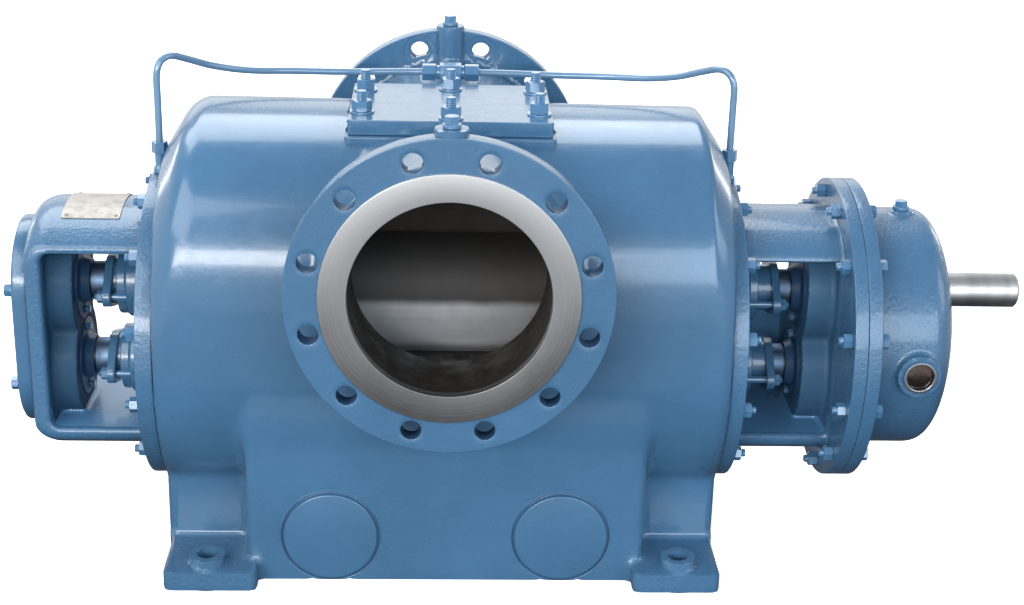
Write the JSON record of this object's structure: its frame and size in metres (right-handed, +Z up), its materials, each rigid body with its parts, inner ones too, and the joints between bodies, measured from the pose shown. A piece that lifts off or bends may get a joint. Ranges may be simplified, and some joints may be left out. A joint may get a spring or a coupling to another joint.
{
  "type": "twin screw pump",
  "caption": "Horizontal twin screw pump with side nozzles, open bearing brackets, a domed gear cover and a drive shaft end.",
  "frame": {"origin": "on the floor, under the middle of the line between the two nozzle faces", "axes": "+X along the shafts towards the drive end, +Y towards the rear nozzle, +Z up"},
  "size_m": [1.385, 0.647, 0.66],
  "materials": {
    "blue_paint": "gloss blue paint over rough casting",
    "dark_paint": "shaded blue paint",
    "bare_barrel": "machined bare iron",
    "machined_face": "turned bare face",
    "polished_steel": "ground steel",
    "bright_ring": "bright plated ring",
    "oil_glass": "clear glass with brown oil behind it",
    "bare_plate": "satin, bare"
  },
  "bodies": {
    "pump": {"pump_casing": "blue_paint", "top_cover": "blue_paint", "seal_cover_left": "blue_paint", "seal_cover_right": "blue_paint", "bearing_bracket_left": "blue_paint", "bearing_bracket_right": "blue_paint", "bearing_cover_left": "blue_paint", "gear_cover": "blue_paint", "gear_filler_plug": "blue_paint", "gland_upper_left": "blue_paint", "gland_lower_left": "blue_paint", "gland_upper_right": "blue_paint", "gland_lower_right": "blue_paint", "tee_fitting": "blue_paint", "tee_nut_left": "blue_paint", "tee_nut_right": "blue_paint", "flush_tube_left": "blue_paint", "flush_tube_right": "blue_paint", "tube_fitting_left": "blue_paint", "tube_fitting_right": "blue_paint", "vent_plug_front": "blue_paint", "vent_plug_rear": "blue_paint", "bearing_cap_upper_left": "dark_paint", "bearing_cap_lower_left": "dark_paint", "bearing_cap_upper_right": "dark_paint", "bearing_cap_lower_right": "dark_paint", "screw_barrel": "bare_barrel", "sight_glass_ring": "bright_ring", "sight_glass": "oil_glass", "nameplate": "bare_plate"},
    "drive_rotor": {"drive_shaft": "polished_steel", "drive_sleeve_left": "polished_steel", "drive_sleeve_right": "polished_steel"},
    "driven_rotor": {"driven_shaft": "polished_steel", "driven_sleeve_left": "polished_steel", "driven_sleeve_right": "polished_steel"}
  },
  "joints": [
    {"name": "drive_spin", "type": "hinge", "parent": "pump", "child": "drive_rotor", "pos_m": [0, 0, 0.3425], "axis": [1, 0, 0], "continuous": true},
    {"name": "driven_spin", "type": "hinge", "parent": "pump", "child": "driven_rotor", "pos_m": [0, 0, 0.2295], "axis": [1, 0, 0], "continuous": true}
  ],
  "couplings": [
    {"joint": "driven_spin", "follows": "drive_spin", "ratio": -1}
  ]
}
